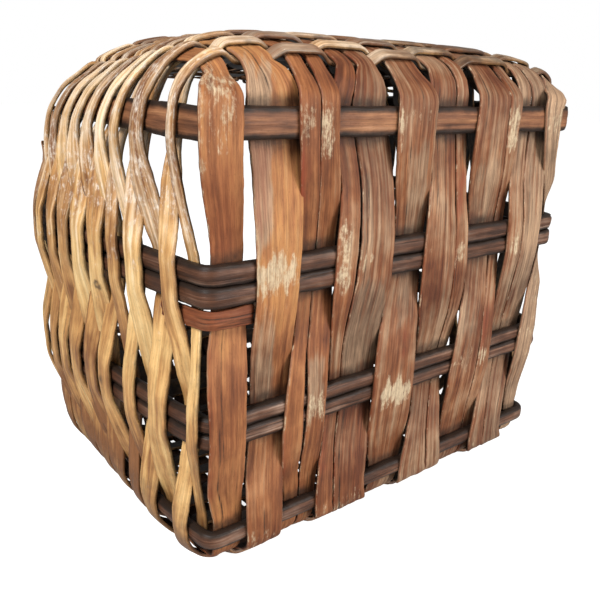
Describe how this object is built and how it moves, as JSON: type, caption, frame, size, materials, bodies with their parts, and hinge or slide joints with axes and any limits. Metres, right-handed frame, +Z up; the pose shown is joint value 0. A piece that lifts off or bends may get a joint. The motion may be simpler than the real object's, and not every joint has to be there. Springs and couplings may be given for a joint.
{
  "type": "woven wood splint basket",
  "caption": "Open-mouthed basket of interwoven wood splints and rods, square base and rounder mouth, lying on its side.",
  "frame": {"origin": "middle of the underside of the bounding box, where the lying basket's lowest wall touches the floor", "axes": "+X along the base panel's rods, +Y from the base panel into the depth and out of the mouth, +Z up as the basket lies, along the base panel's splints"},
  "size_m": [0.4932, 0.4126, 0.4494],
  "materials": {
    "splint_wood": "satin, aged, with pale worn patches",
    "rod_wood": "satin, dark bark-brown",
    "weaver_wood": "satin, tan with pale worn ridges",
    "rim_wood": "satin, aged brown"
  },
  "bodies": {
    "root": {"corner_strip": "rod_wood", "rim_hoop_inner": "rim_wood", "rim_hoop_outer": "rim_wood", "rim_lashing": "rim_wood", "rod_bottom": "rod_wood", "rod_lower_pair_1": "rod_wood", "rod_lower_pair_2": "rod_wood", "rod_top": "rod_wood", "rod_upper_pair_1": "rod_wood", "rod_upper_pair_2": "rod_wood", "splint_1": "splint_wood", "splint_2": "splint_wood", "splint_3_left": "splint_wood", "splint_3_right": "splint_wood", "splint_4_left": "splint_wood", "splint_4_right": "splint_wood", "splint_5": "splint_wood", "splint_6_left": "splint_wood", "splint_6_right": "splint_wood", "splint_7_left": "splint_wood", "splint_7_right": "splint_wood", "splint_8_left": "splint_wood", "splint_8_right": "splint_wood", "splint_9": "splint_wood", "weaver_01": "weaver_wood", "weaver_02": "weaver_wood", "weaver_03": "weaver_wood", "weaver_04": "weaver_wood", "weaver_05": "weaver_wood", "weaver_06": "weaver_wood", "weaver_07": "weaver_wood", "weaver_08": "weaver_wood", "weaver_09": "weaver_wood", "weaver_10": "weaver_wood", "weaver_11": "weaver_wood", "weaver_12": "weaver_wood", "weaver_13": "weaver_wood", "weaver_14": "weaver_wood", "weaver_15": "weaver_wood", "weaver_16": "weaver_wood", "weaver_17": "weaver_wood", "weaver_18": "weaver_wood", "weaver_19": "weaver_wood", "weaver_20": "weaver_wood", "weaver_21": "weaver_wood", "weaver_22": "weaver_wood", "weaver_23": "weaver_wood"}
  },
  "joints": []
}
